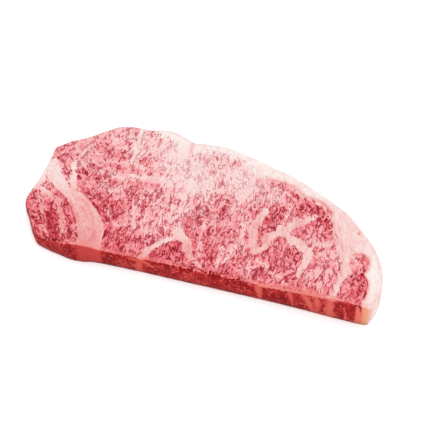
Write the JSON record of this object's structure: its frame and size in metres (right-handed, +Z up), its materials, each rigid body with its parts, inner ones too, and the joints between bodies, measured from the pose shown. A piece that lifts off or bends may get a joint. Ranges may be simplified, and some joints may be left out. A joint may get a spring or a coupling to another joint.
{
  "type": "raw sirloin steak",
  "caption": "Thick slice of raw marbled sirloin beef with a fat seam through the lean, a fat edge along its back and a straight cut front, lying flat.",
  "frame": {"origin": "centre of the bounding box in plan, on the surface that the steak lies on", "axes": "+X along the straight cut front from the tail to the fat end, +Y from the front to the fat along the back, +Z up through the slice's thickness"},
  "size_m": [0.2308, 0.1118, 0.0198],
  "materials": {
    "marbled_beef": "satin"
  },
  "bodies": {
    "root": {"steak": "marbled_beef"}
  },
  "joints": []
}
